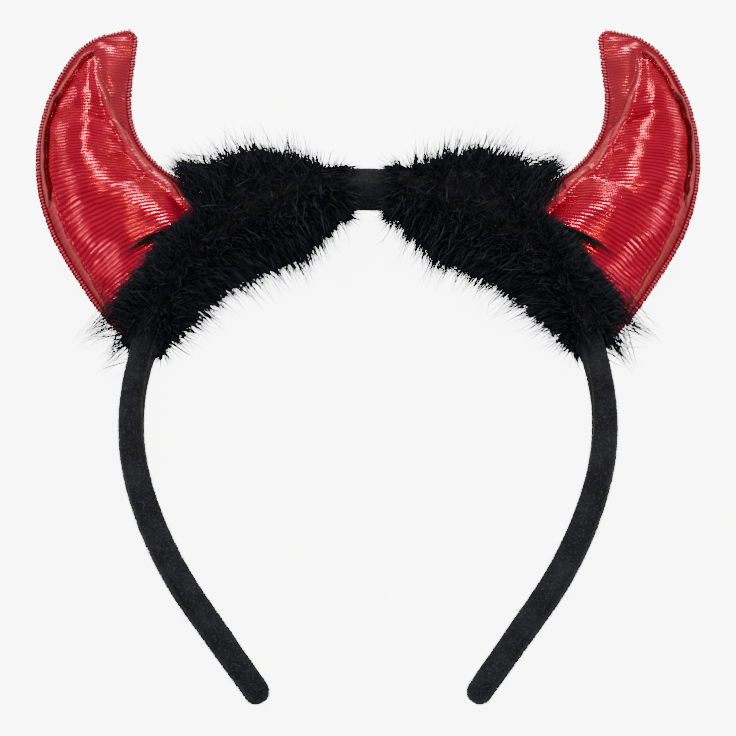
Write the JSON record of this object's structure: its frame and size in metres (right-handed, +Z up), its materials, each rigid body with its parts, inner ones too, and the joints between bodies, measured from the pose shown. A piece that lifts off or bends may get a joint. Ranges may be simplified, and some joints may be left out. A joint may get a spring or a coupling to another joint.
{
  "type": "devil horns headband",
  "caption": "Padded velvet headband with stuffed metallic cloth devil horns and a marabou feather trim round the foot of each horn.",
  "frame": {"origin": "middle of the underside of the whole headband as it lies on its back on a surface", "axes": "+Y from the band's tips towards the horns, +Z up out of the front of the headband, +X to the right as the front is seen"},
  "size_m": [0.1752, 0.1842, 0.0282],
  "materials": {
    "velvet": "black cut pile velvet",
    "metallic_cloth": "red metallic cloth with fine ribs",
    "thread": "red overlocked thread",
    "marabou": "black marabou down"
  },
  "bodies": {
    "root": {"headband": "velvet", "horn_left": "metallic_cloth", "horn_right": "metallic_cloth", "overlock_left": "thread", "overlock_right": "thread", "marabou_left": "marabou", "marabou_right": "marabou"}
  },
  "joints": []
}
